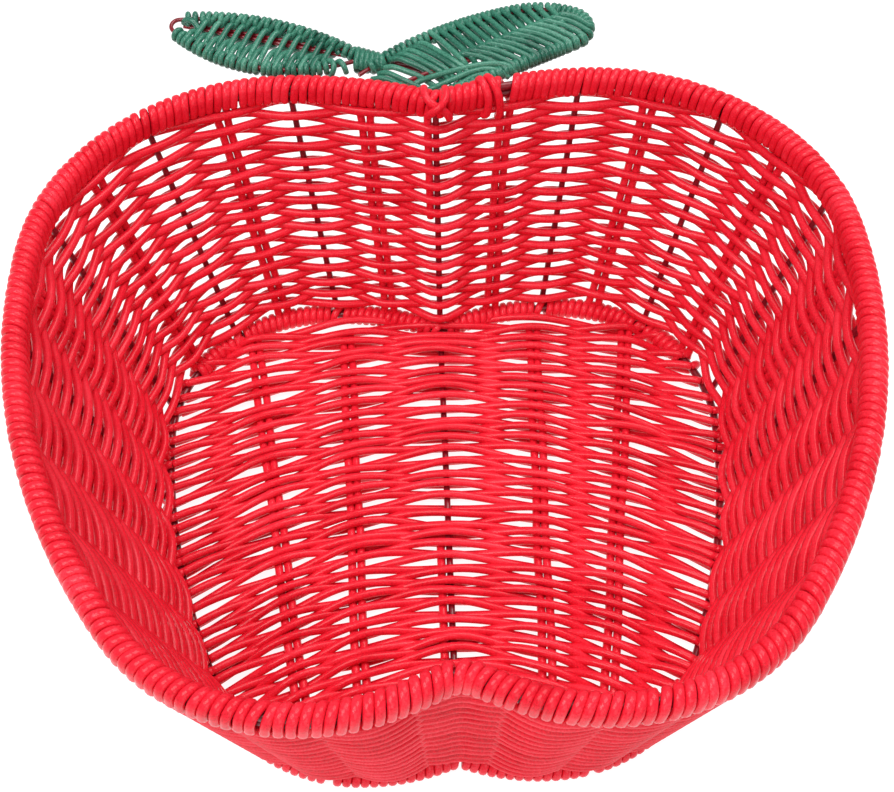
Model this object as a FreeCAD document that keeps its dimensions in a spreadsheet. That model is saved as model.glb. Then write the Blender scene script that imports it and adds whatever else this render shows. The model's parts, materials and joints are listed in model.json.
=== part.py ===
"""Apple-shaped fruit basket: plastic cord woven and wrapped on a frame of painted steel wire.

Millimetres, +Z up, the floor at Z = 0, the cleft at -Y and the notch with its two leaves at +Y.
The origin lies on the floor, within about a millimetre of the middle of the whole object.
"""
import FreeCAD, Part
import math
import os
import Sketcher
from FreeCAD import Placement, Rotation, Vector

os.makedirs("parts", exist_ok=True)
doc = FreeCAD.newDocument("apple_basket")

# --- driving dimensions: millimetres and degrees ---------------------------------------------

SIZES = {
    "origin_y": 36.15,          # from the outline's own zero to the middle of the object
    "wire_dia": 2.8,            # rim wires and base ring
    "rib_dia": 2.2,             # upright ribs
    "leaf_wire_dia": 1.5,
    "cord_dia": 2.75,
    "leaf_cord_dia": 2.1,
    "clearance": 0.15,          # room round a rod that passes through a woven or wrapped piece
    "wire_step": 2.85,          # from the lower rim wire to the upper one
    "base_z": 4.0,              # centre of the base ring's wire
    "rim_z": 91.0,              # halfway between the two rim wires
    "stakes": 16,               # ribs round the wall, and as many cord pairs between them
    "pair_gap": 0.4,            # slit between the two cords of a pair
    "weave_gap": 0.3,           # between a woven panel and the wrapped ring beside it
    "notch_bend": 6.0,
    "cleft_bend": 9.0,
    "rim_notch_y": 122.5,
    "rim_notch_turn": 20.8,
    "rim_top_rad": 140.0,
    "rim_top_turn": 20.5,
    "rim_shoulder_rad": 75.8,
    "rim_shoulder_turn": 87.5,
    "rim_side_rad": 207.2,
    "rim_side_turn": 38.5,
    "rim_lobe_rad": 62.4,
    "rim_lobe_turn": 75.9,
    "rim_front_rad": 188.7,
    "base_notch_y": 96.5,
    "base_notch_turn": 23.1,
    "base_top_rad": 102.0,
    "base_top_turn": 23.9,
    "base_shoulder_rad": 53.8,
    "base_shoulder_turn": 91.5,
    "base_side_rad": 265.4,
    "base_side_turn": 21.1,
    "base_lobe_rad": 51.8,
    "base_lobe_turn": 62.6,
    "base_front_rad": 68.0,
    "inner_stake_rear": 35.0,   # half distances between the base's cord pairs
    "inner_stake_front": 29.0,
    "outer_stake_rear": 70.0,
    "outer_stake_front": 48.0,
    "leaf_y": 129.0,            # line about which the leaves' plane is tilted
    "leaf_drop": 4.0,           # below the rim's centre at that line
    "leaf_tilt": 10.0,
    "midrib_offset": 1.65,      # from a leaf's outline wire to its midrib, centre to centre
    "midrib_pitch": 1.7,        # between the two wires of a midrib
}

sheet = doc.addObject("Spreadsheet::Sheet", "sizes")
for row, (alias, value) in enumerate(SIZES.items(), start=1):
    sheet.set(f"A{row}", alias)
    sheet.set(f"B{row}", str(value))
    sheet.setAlias(f"B{row}", alias)
doc.recompute()


def size(alias):
    """The sheet's value for an alias."""
    return float(sheet.get(alias))


WRAP_RADIUS = size("wire_dia") / 2 + size("cord_dia")
LEAF_EDGE = size("leaf_wire_dia") / 2 + size("leaf_cord_dia")
UP = Vector(0, 0, 1)
SUB_PARTS = []


def keep(feature, label):
    """Registers a finished object as a sub-part; its label names its file."""
    feature.Label = label
    SUB_PARTS.append(feature)
    return feature


# --- outlines ----------------------------------------------------------------------------------

class Chain:
    """Runs and arcs that follow each other with no corner, in a plane; a turn to the right is positive."""

    def __init__(self, start, heading):
        self.point = Vector(*start, 0)
        self.heading = math.radians(heading)
        self.pieces = []        # (geometry, expression of its radius or None)

    def run(self, length):
        end = self.point + Vector(math.cos(self.heading), math.sin(self.heading), 0) * length
        self.pieces.append((Part.LineSegment(self.point, end), None))
        self.point = end

    def turn(self, radius, angle, expression=None):
        side = math.copysign(1, angle)
        centre = self.centre(radius * side)

        def at(heading):
            return centre + Vector(-math.sin(heading), math.cos(heading), 0) * radius * side

        last = self.heading - math.radians(angle)
        middle = at((self.heading + last) / 2)
        self.pieces.append((Part.ArcOfCircle(self.point, middle, at(last)), expression))
        self.point = at(last)
        self.heading = last

    def centre(self, signed_radius):
        """Centre of an arc that starts here and turns right by a positive radius."""
        return self.point + Vector(math.sin(self.heading), -math.cos(self.heading), 0) * signed_radius


ARC_NAMES = ("top", "shoulder", "side", "lobe")


def half_apple(ring, outward=0.0):
    """Half of the apple outline from the notch to the cleft, moved outward by a distance."""
    chain = Chain((0, size(f"{ring}_notch_y") - size("origin_y") + outward), 0)
    chain.turn(size("notch_bend") - outward, -size(f"{ring}_notch_turn"), f"sizes.notch_bend - {outward}")
    for name in ARC_NAMES:
        alias = f"{ring}_{name}"
        chain.turn(size(f"{alias}_rad") + outward, size(f"{alias}_turn"), f"sizes.{alias}_rad + {outward}")
    # The front arc ends where the cleft's bend, centred on the plane of symmetry, is tangent to it.
    front = size(f"{ring}_front_rad") + outward
    bend = size("cleft_bend") - outward
    centre = chain.centre(front)
    drop = math.sqrt((front + bend) ** 2 - centre.x ** 2)
    last_heading = -math.pi - math.asin(centre.x / (front + bend))
    if drop <= 0:
        raise ValueError(f"{ring}: the front arc misses the cleft")
    turn = math.degrees(chain.heading - last_heading)
    chain.turn(front, turn, f"sizes.{ring}_front_rad + {outward}")
    chain.turn(bend, math.degrees(last_heading + math.pi), f"sizes.cleft_bend - {outward}")
    return chain.pieces


def mirrored(arc):
    """The same arc on the other side of the plane of symmetry."""
    first, last = arc.FirstParameter, arc.LastParameter
    ends = [arc.value(u) for u in (last, (first + last) / 2, first)]
    return Part.ArcOfCircle(*[Vector(-p.x, p.y, 0) for p in ends])


def apple(ring, outward=0.0):
    """The closed outline, clockwise from the notch, as (arc, radius expression) pairs."""
    right = half_apple(ring, outward)
    left = [(mirrored(arc), expression) for arc, expression in reversed(right)]
    return right + left


def station(ring, share):
    """Point and direction at a share of the outline's length, clockwise from the notch."""
    edges = [arc.toShape() for arc, _ in apple(ring)]
    rest = share % 1.0 * sum(edge.Length for edge in edges)
    for edge in edges:
        if rest <= edge.Length:
            break
        rest -= edge.Length
    parameter = edge.getParameterByLength(rest)
    return edge.valueAt(parameter), edge.tangentAt(parameter)


def outline_point_at(ring, x, front):
    """Point of the right half at a distance from the plane of symmetry, on its front or rear side."""
    cut = Part.makeLine(Vector(x, -200, 0), Vector(x, 200, 0))
    wire = Part.Wire([arc.toShape() for arc, _ in half_apple(ring)])
    points = wire.distToShape(cut)[1]
    places = sorted((pair[0] for pair in points), key=lambda p: p.y)
    return places[0] if front else places[-1]


# --- features ----------------------------------------------------------------------------------

def origin_plane(body, role):
    return next(f for f in body.Origin.OriginFeatures if f.Role == role)


def new_sketch(body, name, role):
    sketch = body.newObject("Sketcher::SketchObject", name)
    sketch.AttachmentSupport = (origin_plane(body, role), [""])
    sketch.MapMode = "FlatFace"
    return sketch


def draw(sketch, pieces):
    """Adds runs and arcs, with each arc's radius bound to the sheet where it has an expression."""
    for geometry, expression in pieces:
        index = sketch.addGeometry(geometry, False)
        if expression is None:
            continue
        constraint = sketch.addConstraint(Sketcher.Constraint("Radius", index, geometry.Radius))
        sketch.setExpression(f"Constraints[{constraint}]", expression)


def draw_circle(sketch, centre, diameter_expression, diameter, x_expression=None, y_expression=None):
    """A circle whose diameter, and place where it has one, are bound to the sheet."""
    index = sketch.addGeometry(Part.Circle(centre, UP, diameter / 2), False)
    bound = [(Sketcher.Constraint("Diameter", index, diameter), diameter_expression)]
    if x_expression:
        bound.append((Sketcher.Constraint("DistanceX", -1, 1, index, 3, centre.x), x_expression))
    if y_expression:
        bound.append((Sketcher.Constraint("DistanceY", -1, 1, index, 3, centre.y), y_expression))
    for constraint, expression in bound:
        number = sketch.addConstraint(constraint)
        sketch.setExpression(f"Constraints[{number}]", expression)


def sweep(body, profile, path):
    pipe = body.newObject("PartDesign::AdditivePipe", f"{body.Name}_sweep")
    pipe.Profile = profile
    pipe.Spine = (path, [])
    body.Tip = pipe
    return body


def ring_body(name, ring, height_expression):
    """A body with a path sketch round an outline, and an empty profile sketch in the YZ plane."""
    body = doc.addObject("PartDesign::Body", name)
    path = new_sketch(body, f"{name}_path", "XY_Plane")
    path.setExpression(".AttachmentOffset.Base.z", height_expression)
    draw(path, apple(ring))
    profile = new_sketch(body, f"{name}_profile", "YZ_Plane")
    return body, path, profile


def ring_wire(name, ring, height_expression, height):
    """A closed wire bent to an apple outline."""
    body, path, profile = ring_body(name, ring, height_expression)
    centre = Vector(size(f"{ring}_notch_y") - size("origin_y"), height, 0)
    place = f"sizes.{ring}_notch_y - sizes.origin_y"
    draw_circle(profile, centre, "sizes.wire_dia", size("wire_dia"), place, height_expression)
    return keep(sweep(body, profile, path), name)


def stadium(sketch, centre, radius, half_step):
    """An upright slot shape: two half circles joined by straight sides."""
    low, high = centre - Vector(0, half_step, 0), centre + Vector(0, half_step, 0)
    side, tall = Vector(radius, 0, 0), Vector(0, radius, 0)
    sketch.addGeometry(Part.ArcOfCircle(high + side, high + tall, high - side), False)
    sketch.addGeometry(Part.LineSegment(high - side, low - side), False)
    sketch.addGeometry(Part.ArcOfCircle(low - side, low - tall, low + side), False)
    sketch.addGeometry(Part.LineSegment(low + side, high + side), False)


def rod(name, start, end, diameter_expression):
    """A straight round rod from one point to another."""
    cylinder = doc.addObject("Part::Cylinder", name)
    cylinder.setExpression("Radius", f"({diameter_expression}) / 2")
    cylinder.Height = (end - start).Length
    cylinder.Placement = Placement(start, Rotation(UP, end - start))
    return cylinder


def group(name, members):
    compound = doc.addObject("Part::Compound", name)
    compound.Links = members
    return compound


def cut(name, base, tools):
    """A piece with channels for the rods that pass through it."""
    feature = doc.addObject("Part::Cut", name)
    feature.Base = base
    feature.Tool = tools
    return keep(feature, name)


# --- frame wires -------------------------------------------------------------------------------

HALF_STEP = size("wire_step") / 2
ring_wire("rim_wire_upper", "rim", "sizes.rim_z + sizes.wire_step / 2", size("rim_z") + HALF_STEP)
ring_wire("rim_wire_lower", "rim", "sizes.rim_z - sizes.wire_step / 2", size("rim_z") - HALF_STEP)
ring_wire("base_ring_wire", "base", "sizes.base_z", size("base_z"))

WALL_RODS = []      # wider rods that open channels in the wall and in the two wraps
BASE_RODS = []      # the same for the base

WELD = 0.05         # a rod's flat end stops this far from the wire that it is welded to
CORD_END = 0.3      # and a cord's end this far


def rod_and_channel(name, start, end, diameter_alias, inset, channels):
    """A rod shortened by an inset at both ends, and its channel, which runs as far."""
    along = (end - start).normalize()
    first, last = start + along * inset, end - along * inset
    channels.append(rod(f"{name}_channel", first, last, f"sizes.{diameter_alias} + 2 * sizes.clearance"))
    return rod(name, first, last, f"sizes.{diameter_alias}")


def wall_line(share):
    """The wall's middle line at a share of the way round: its foot, its head and the way round."""
    foot, _ = station("base", share)
    head, way = station("rim", share)
    foot.z = size("base_z")
    head.z = size("rim_z") - HALF_STEP
    return foot, head, way


RIBS = int(size("stakes"))
RIB_INSET = size("wire_dia") / 2 + WELD
for number in range(RIBS):
    foot, head, _ = wall_line(number / RIBS)
    label = f"wall_rib_{number + 1:02d}"
    keep(rod_and_channel(label, foot, head, "rib_dia", RIB_INSET, WALL_RODS), label)

rear_end, _ = station("base", 0.0)
front_end, _ = station("base", 0.5)
rear_end.z = front_end.z = size("base_z")
keep(rod_and_channel("base_rib", front_end, rear_end, "rib_dia", RIB_INSET, BASE_RODS), "base_rib")

# --- cord stakes, in pairs ---------------------------------------------------------------------

PAIR_HALF = (size("cord_dia") + size("pair_gap")) / 2
CORD_INSET = size("wire_dia") / 2 + CORD_END


def stake_pair(name, start, end, way, channels):
    """Two cords side by side, spaced along the way round."""
    across = way * PAIR_HALF
    cords = []
    for suffix, shift in (("a", across), ("b", across * -1)):
        cord = rod_and_channel(f"{name}_{suffix}", start + shift, end + shift, "cord_dia", CORD_INSET, channels)
        cords.append(cord)
    return keep(group(name, cords), name)


for number in range(RIBS):
    foot, head, way = wall_line((number + 0.5) / RIBS)
    stake_pair(f"wall_stake_pair_{number + 1:02d}", foot, head, way, WALL_RODS)

for side_name, side in (("right", 1), ("left", -1)):
    for row_name in ("inner", "outer"):
        rear = outline_point_at("base", size(f"{row_name}_stake_rear"), front=False)
        front = outline_point_at("base", size(f"{row_name}_stake_front"), front=True)
        ends = [Vector(side * p.x, p.y, size("base_z")) for p in (front, rear)]
        stake_pair(f"base_stake_pair_{side_name}_{row_name}", *ends, Vector(1, 0, 0), BASE_RODS)

wall_channels = group("wall_channels", WALL_RODS)
base_channels = group("base_channels", BASE_RODS)
all_channels = group("all_channels", WALL_RODS + BASE_RODS)

# --- wraps of cord round the rim and the base ring ---------------------------------------------

LOOSE = 0.1     # between the wires and the inside of a wrap

body, path, profile = ring_body("rim_wrap_tube", "rim", "sizes.rim_z")
centre = Vector(size("rim_notch_y") - size("origin_y"), size("rim_z"), 0)
stadium(profile, centre, WRAP_RADIUS, HALF_STEP)
stadium(profile, centre, size("wire_dia") / 2 + LOOSE, HALF_STEP)
rim_tube = sweep(body, profile, path)
cut("rim_wrap", rim_tube, wall_channels)

body, path, profile = ring_body("base_wrap_tube", "base", "sizes.base_z")
centre = Vector(size("base_notch_y") - size("origin_y"), size("base_z"), 0)
half_flat = math.sqrt(WRAP_RADIUS ** 2 - size("base_z") ** 2)
left_foot, right_foot = Vector(centre.x - half_flat, 0, 0), Vector(centre.x + half_flat, 0, 0)
profile.addGeometry(Part.ArcOfCircle(right_foot, centre + Vector(0, WRAP_RADIUS, 0), left_foot), False)
profile.addGeometry(Part.LineSegment(left_foot, right_foot), False)
profile.addGeometry(Part.Circle(centre, UP, size("wire_dia") / 2 + LOOSE), False)
base_tube = sweep(body, profile, path)
cut("base_ring_wrap", base_tube, all_channels)

# --- woven wall --------------------------------------------------------------------------------

WEAVE_HALF = size("rib_dia") / 2 + size("cord_dia")     # half the thickness of a weave


def outline_sketch(name, ring, outward, height_expression):
    sketch = doc.addObject("Sketcher::SketchObject", name)
    draw(sketch, apple(ring, outward))
    sketch.setExpression(".Placement.Base.z", height_expression)
    return sketch


def cone(name, outward):
    """The solid between the rim's outline and the base's, both moved outward by a distance."""
    loft = doc.addObject("Part::Loft", name)
    low = outline_sketch(f"{name}_foot", "base", outward, "sizes.base_z")
    high = outline_sketch(f"{name}_head", "rim", outward, "sizes.rim_z")
    loft.Sections = [low, high]
    loft.Solid = True
    loft.Ruled = True
    return loft


shell = doc.addObject("Part::Cut", "wall_shell")
shell.Base = cone("wall_outside", WEAVE_HALF)
shell.Tool = cone("wall_inside", -WEAVE_HALF)
slab = doc.addObject("Part::Box", "wall_slab")
SLAB_SIDE = 400
slab.Length = slab.Width = SLAB_SIDE
slab.Placement.Base = Vector(-SLAB_SIDE / 2, -SLAB_SIDE / 2, 0)
foot_z = "sizes.base_z + sizes.wire_dia / 2 + sizes.cord_dia + sizes.weave_gap"
head_z = "sizes.rim_z - sizes.wire_step / 2 - sizes.wire_dia / 2 - sizes.cord_dia - sizes.weave_gap"
slab.setExpression(".Placement.Base.z", foot_z)
slab.setExpression("Height", f"({head_z}) - ({foot_z})")
band = doc.addObject("Part::Common", "wall_band")
band.Base = shell
band.Tool = slab
cut("wall_weave", band, wall_channels)

# --- woven base --------------------------------------------------------------------------------

body = doc.addObject("PartDesign::Body", "base_panel")
sketch = new_sketch(body, "base_panel_outline", "XY_Plane")
sketch.setExpression(".AttachmentOffset.Base.z", "sizes.base_z")
draw(sketch, apple("base", -(WRAP_RADIUS + size("weave_gap"))))
pad = body.newObject("PartDesign::Pad", "base_panel_pad")
pad.Profile = sketch
pad.Midplane = True
pad.setExpression("Length", "sizes.rib_dia + 2 * sizes.cord_dia")
body.Tip = pad
cut("base_weave", body, base_channels)

# --- leaves ------------------------------------------------------------------------------------

leaf_plane = Placement(
    Vector(0, size("leaf_y") - size("origin_y"), size("rim_z") - size("leaf_drop")),
    Rotation(Vector(1, 0, 0), size("leaf_tilt")),
)


def in_plane(x, y, heading=0.0, height=0.0):
    """A frame in the leaves' plane, or above it by a height, that points along a heading."""
    return leaf_plane * Placement(Vector(x, y, height), Rotation(UP, heading))


# Each leaf: where its outline wire starts in the leaves' plane, its heading there, and its runs
# (length, None) and bends (radius, turn). The wire follows the near edge, the tip, the far edge.
LEAVES = {
    "left": {"start": (-28.0, 18.1), "heading": 198.7,
             "bends": [(60.2, 65.8), (3.0, 130.3), (99.5, 37.8)]},
    "right": {"start": (0.7, 1.0), "heading": 25.1,
              "bends": [(55.6, None), (6.8, -133.4), (36.1, -33.7), (132.7, -27.0)]},
}


def leaf_chain(leaf, outward=0.0):
    """A leaf's outline in its own frame, which starts along +X, moved outward by a distance."""
    first_turn = next(turn for _, turn in leaf["bends"] if turn is not None)
    side = math.copysign(1, first_turn)
    chain = Chain((0, side * outward), 0)
    for length, turn in leaf["bends"]:
        if turn is None:
            chain.run(length)
        else:
            chain.turn(length + outward, turn)
    return chain


def leaf_wire(name, chain, placement, diameter_expression, diameter):
    """A wire swept along a chain that starts at the frame's origin along +X."""
    wire = doc.addObject("PartDesign::Body", name)
    wire_path = new_sketch(wire, f"{name}_path", "XY_Plane")
    draw(wire_path, chain.pieces)
    wire_profile = new_sketch(wire, f"{name}_profile", "YZ_Plane")
    draw_circle(wire_profile, Vector(0, 0, 0), diameter_expression, diameter)
    sweep(wire, wire_profile, wire_path)
    wire.Placement = placement
    return wire


WIRE = size("leaf_wire_dia")
ROOM = 2 * size("clearance")
WIRE_AND_ROOM = "sizes.leaf_wire_dia + 2 * sizes.clearance"


def wire_and_channel(name, chain, placement):
    """A leaf wire, and the wider one that opens its channel in the woven cord."""
    channel = leaf_wire(f"{name}_channel", chain, placement, WIRE_AND_ROOM, WIRE + ROOM)
    return leaf_wire(name, chain, placement, "sizes.leaf_wire_dia", WIRE), channel


def double_wire(name, chains, placements):
    """Two wires side by side in one node, and their channels."""
    pairs = [wire_and_channel(f"{name}_{k}", c, p) for k, (c, p) in enumerate(zip(chains, placements))]
    keep(group(name, [wire for wire, _ in pairs]), name)
    return [channel for _, channel in pairs]


HALF_PITCH = size("midrib_pitch") / 2

# The left leaf's midrib starts inside its tip, runs along the leaf and on to the rim as its stem.
TIP_X, TIP_Y, TIP_HEADING = -87.9, 38.4, -15.0
MIDRIB_LENGTH, STEM_BEND, STEM_TURN, STEM_LENGTH = 58.0, 60.0, 2.7, 50.5
stem_chains, stem_frames = [], []
for shift in (HALF_PITCH, -HALF_PITCH):
    chain = Chain((0, 0), 0)
    chain.run(MIDRIB_LENGTH)
    chain.turn(STEM_BEND + shift, STEM_TURN)
    chain.run(STEM_LENGTH)
    across = Vector(-math.sin(math.radians(TIP_HEADING)), math.cos(math.radians(TIP_HEADING)), 0) * shift
    stem_frames.append(in_plane(TIP_X + across.x, TIP_Y + across.y, TIP_HEADING, -size("midrib_offset")))
    stem_chains.append(chain)
stem_channels = double_wire("left_leaf_midrib_and_stem", stem_chains, stem_frames)

# The right leaf's midrib runs from the rim to its tip, above the outline wire.
ROOT_X, ROOT_Y, ROOT_HEADING, ROOT_LENGTH = -13.0, 4.8, 25.0, 68.0
root_chains, root_frames = [], []
for shift in (HALF_PITCH, -HALF_PITCH):
    chain = Chain((0, 0), 0)
    chain.run(ROOT_LENGTH)
    across = Vector(-math.sin(math.radians(ROOT_HEADING)), math.cos(math.radians(ROOT_HEADING)), 0) * shift
    root_frames.append(in_plane(ROOT_X + across.x, ROOT_Y + across.y, ROOT_HEADING, size("midrib_offset")))
    root_chains.append(chain)
root_channels = double_wire("right_leaf_midrib", root_chains, root_frames)

leaf_channels = {"left": stem_channels, "right": stem_channels + root_channels}


# Cord wound round the stem where it leaves the left leaf.
WRAP_HEADING = TIP_HEADING - STEM_TURN
WRAP_START, WRAP_LENGTH = (-26.2, 21.7), 8.0
wrap_frame = in_plane(*WRAP_START, WRAP_HEADING, -size("midrib_offset"))
wrap_ends = [wrap_frame.multVec(Vector(x, 0, 0)) for x in (0, WRAP_LENGTH)]
wrap_diameter = "sizes.midrib_pitch + sizes.leaf_wire_dia + 2 * sizes.leaf_cord_dia"
wrap_room = rod("left_leaf_stem_wrap_room", *wrap_ends, f"{wrap_diameter} + 2 * sizes.weave_gap")
wrap_tube = rod("left_leaf_stem_wrap_tube", *wrap_ends, wrap_diameter)
cut("left_leaf_stem_wrap", wrap_tube, group("left_leaf_stem_channels", stem_channels))


def leaf_panel(name, leaf, frame):
    """The woven cord of a leaf as a plain plate, out to the outside of the wraps on its edge."""
    panel = doc.addObject("PartDesign::Body", name)
    edge = leaf_chain(leaf, LEAF_EDGE)
    outline = new_sketch(panel, f"{name}_outline", "XY_Plane")
    first = edge.pieces[0][0]
    draw(outline, edge.pieces + [(Part.LineSegment(edge.point, first.value(first.FirstParameter)), None)])
    plate = panel.newObject("PartDesign::Pad", f"{name}_pad")
    plate.Profile = outline
    plate.Midplane = True
    plate.setExpression("Length", "sizes.leaf_wire_dia + 2 * sizes.leaf_cord_dia")
    panel.Tip = plate
    panel.Placement = frame
    return panel


for side_name, leaf in LEAVES.items():
    frame = in_plane(*leaf["start"], leaf["heading"])
    outline_name = f"{side_name}_leaf_outline_wire"
    wire, channel = wire_and_channel(outline_name, leaf_chain(leaf), frame)
    keep(wire, outline_name)
    tools = group(f"{side_name}_leaf_channels", [channel, wrap_room] + leaf_channels[side_name])
    cut(f"{side_name}_leaf_weave", leaf_panel(f"{side_name}_leaf_panel", leaf, frame), tools)

# --- checks and export -------------------------------------------------------------------------

doc.recompute()
for feature in doc.Objects:
    if "Invalid" in feature.State or "Error" in feature.State:
        raise RuntimeError(f"{feature.Name} did not recompute: {feature.State}")

box = FreeCAD.BoundBox()
for feature in SUB_PARTS:
    shape = feature.Shape
    if shape.isNull() or not shape.isValid():
        raise RuntimeError(f"{feature.Label} has no valid shape")
    print(f"{feature.Label:28s} solids {len(shape.Solids)} volume {shape.Volume:10.1f}")
    box.add(shape.optimalBoundingBox(False))
print("whole object", box)

for feature in SUB_PARTS:
    feature.Shape.exportStep(f"parts/{feature.Label}.step")
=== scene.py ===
import json
import math

import bpy
import numpy as np
from mathutils import Matrix, Vector

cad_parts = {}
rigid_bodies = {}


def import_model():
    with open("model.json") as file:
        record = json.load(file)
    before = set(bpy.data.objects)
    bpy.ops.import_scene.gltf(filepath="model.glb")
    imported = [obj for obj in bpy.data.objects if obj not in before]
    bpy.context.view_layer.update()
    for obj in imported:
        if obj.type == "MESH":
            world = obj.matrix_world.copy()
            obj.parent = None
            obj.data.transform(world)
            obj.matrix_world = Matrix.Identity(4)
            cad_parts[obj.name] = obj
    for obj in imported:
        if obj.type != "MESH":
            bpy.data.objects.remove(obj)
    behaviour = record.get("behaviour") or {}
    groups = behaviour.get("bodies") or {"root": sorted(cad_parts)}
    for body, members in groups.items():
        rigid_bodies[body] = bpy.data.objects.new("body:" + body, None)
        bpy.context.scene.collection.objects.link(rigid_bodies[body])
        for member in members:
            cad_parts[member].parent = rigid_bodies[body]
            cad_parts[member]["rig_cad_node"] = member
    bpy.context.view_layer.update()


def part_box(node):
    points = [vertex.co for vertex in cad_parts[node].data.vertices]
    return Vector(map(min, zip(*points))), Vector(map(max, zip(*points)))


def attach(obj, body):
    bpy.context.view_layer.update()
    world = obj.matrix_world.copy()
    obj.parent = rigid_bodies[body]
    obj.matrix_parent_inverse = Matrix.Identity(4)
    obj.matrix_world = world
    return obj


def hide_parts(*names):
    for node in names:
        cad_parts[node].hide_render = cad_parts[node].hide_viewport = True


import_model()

MM = 0.001

# Apple-shaped basket of plastic cord woven and wrapped on painted wire. Shapes are worked out in
# millimetres in the frame's axes and scaled to metres when a mesh is made.

WALL_CORD = 3.06        # diameter of the red cord in the wall, where its rows lie loosest
TIGHT_RADIUS = 1.42     # its radius where it is pulled straight, in the base and the upright pairs
WRAP_THICK = 2.45       # its thickness where it is wrapped round a wire
LEAF_CORD = 2.1         # diameter of the green cord
WIRE = 2.8              # and of the wire of the rim and the base ring
LEAF_WIRE = 1.5         # and of the leaves' wires
BASE_Z = 4.0            # centre of the base ring's wire
RIM_Z = 91.0            # halfway between the two rim wires
HALF_STEP = 1.425       # from there to either rim wire
RIBS = 16               # upright wires round the wall, with as many cord pairs between them
LOW_RIM_Z = RIM_Z - HALF_STEP


# --- numbers that vary ---------------------------------------------------------------------------

def power(value, exponent):
    return np.sign(value) * np.abs(value) ** exponent


def unit(v):
    return v / np.linalg.norm(v, axis=-1, keepdims=True)


def smooth(t):
    """0 before 0, 1 after 1, and an even S between them."""
    t = np.clip(t, 0.0, 1.0)
    return t * t * (3 - 2 * t)


def waves(rng, count, low, high):
    """Random waves for wander(): frequency, phase, and strength that falls with frequency."""
    number = rng.integers(low, high + 1, count)
    phase = rng.uniform(0, 2 * math.pi, count)
    return number, phase, rng.uniform(0.5, 1.0, count) / np.sqrt(number)


def wander(share, drawn):
    """A smooth random value of about 1 that closes on itself over a share from 0 to 1."""
    number, phase, strength = drawn
    share = np.asarray(share, float)[..., None]
    total = (strength * np.sin(2 * math.pi * number * share + phase)).sum(-1)
    return total / math.sqrt((strength ** 2).sum() / 2)


# --- outlines ------------------------------------------------------------------------------------

def add_arc(points, heading, radius, turn, step=0.2):
    """Adds the points of an arc that turns right, and gives the heading at its end."""
    side = math.copysign(1, turn)
    centre = points[-1] + radius * side * np.array([math.sin(heading), -math.cos(heading)])
    count = max(2, math.ceil(radius * abs(turn) / step))
    for k in range(1, count + 1):
        h = heading - turn * k / count
        points.append(centre + radius * side * np.array([-math.sin(h), math.cos(h)]))
    return heading - turn


class Outline:
    """A closed apple outline, clockwise from the notch: bends of (radius, turn to the right)."""

    def __init__(self, notch_y, bends, front, cleft):
        points, heading = [np.array([0.0, notch_y])], 0.0
        for radius, turn in bends:
            heading = add_arc(points, heading, radius, math.radians(turn))
        # The front arc ends where the cleft's bend, centred on X = 0, is tangent to it.
        centre = points[-1] + front * np.array([math.sin(heading), -math.cos(heading)])
        last = -math.pi - math.asin(centre[0] / (front + cleft))
        heading = add_arc(points, heading, front, heading - last)
        add_arc(points, heading, cleft, last + math.pi)
        right = np.array(points)
        left = right[-2:0:-1] * (-1, 1)
        ring = np.vstack([right, left, right[:1]])
        steps = np.linalg.norm(np.diff(ring, axis=0), axis=1)
        self.run = np.concatenate([[0], np.cumsum(steps)])
        self.length = self.run[-1]
        self.ring = ring

    def at(self, share):
        """Points at shares of the length."""
        s = np.mod(share, 1.0) * self.length
        return np.stack([np.interp(s, self.run, self.ring[:, k]) for k in (0, 1)], -1)

    def way(self, share, reach=0.6):
        """Directions of travel, evened out over a reach in millimetres."""
        step = reach / self.length
        return unit(self.at(np.asarray(share) + step) - self.at(np.asarray(share) - step))

    def outward(self, share, reach=0.6):
        w = self.way(share, reach)
        return np.stack([-w[..., 1], w[..., 0]], -1)

    def holds(self, points, inset=0.0):
        """Whether points are inside, by at least an inset."""
        a, b = self.ring[:-1], self.ring[1:]
        x, y = points[:, None, 0], points[:, None, 1]
        across = (a[:, 1] > y) != (b[:, 1] > y)
        rise = np.where(b[:, 1] == a[:, 1], 1.0, b[:, 1] - a[:, 1])
        hit = x < (b[:, 0] - a[:, 0]) * (y - a[:, 1]) / rise + a[:, 0]
        inside = (across & hit).sum(1) % 2 == 1
        near = np.sqrt(((points[:, None] - a[::4]) ** 2).sum(-1)).min(1)
        return inside & (near > inset)

    def nearest(self, point):
        """The share of the length at the ring's point nearest to a point."""
        k = np.linalg.norm(self.ring - point, axis=1).argmin()
        return self.run[k] / self.length


CLEFT = 9.0             # radius of the bend in the middle of the front
rim = Outline(86.35, [(6.0, -20.8), (140.0, 20.5), (75.8, 87.5), (207.2, 38.5), (62.4, 75.9)],
              188.7, CLEFT)
base = Outline(60.35, [(6.0, -23.1), (102.0, 23.9), (53.8, 91.5), (265.4, 21.1), (51.8, 62.6)],
               68.0, CLEFT)

OUTLINE_TOLERANCE = 0.3     # from the CAD wires' boxes
for outline, node in ((rim, "rim_wire_lower"), (base, "base_ring_wire")):
    low, high = np.array(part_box(node)) / MM
    reach = np.array([outline.ring.min(0) - WIRE / 2, outline.ring.max(0) + WIRE / 2])
    if np.abs(reach - [low[:2], high[:2]]).max() > OUTLINE_TOLERANCE:
        raise ValueError(f"the outline is off {node}: {reach}, {low}, {high}")


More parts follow.
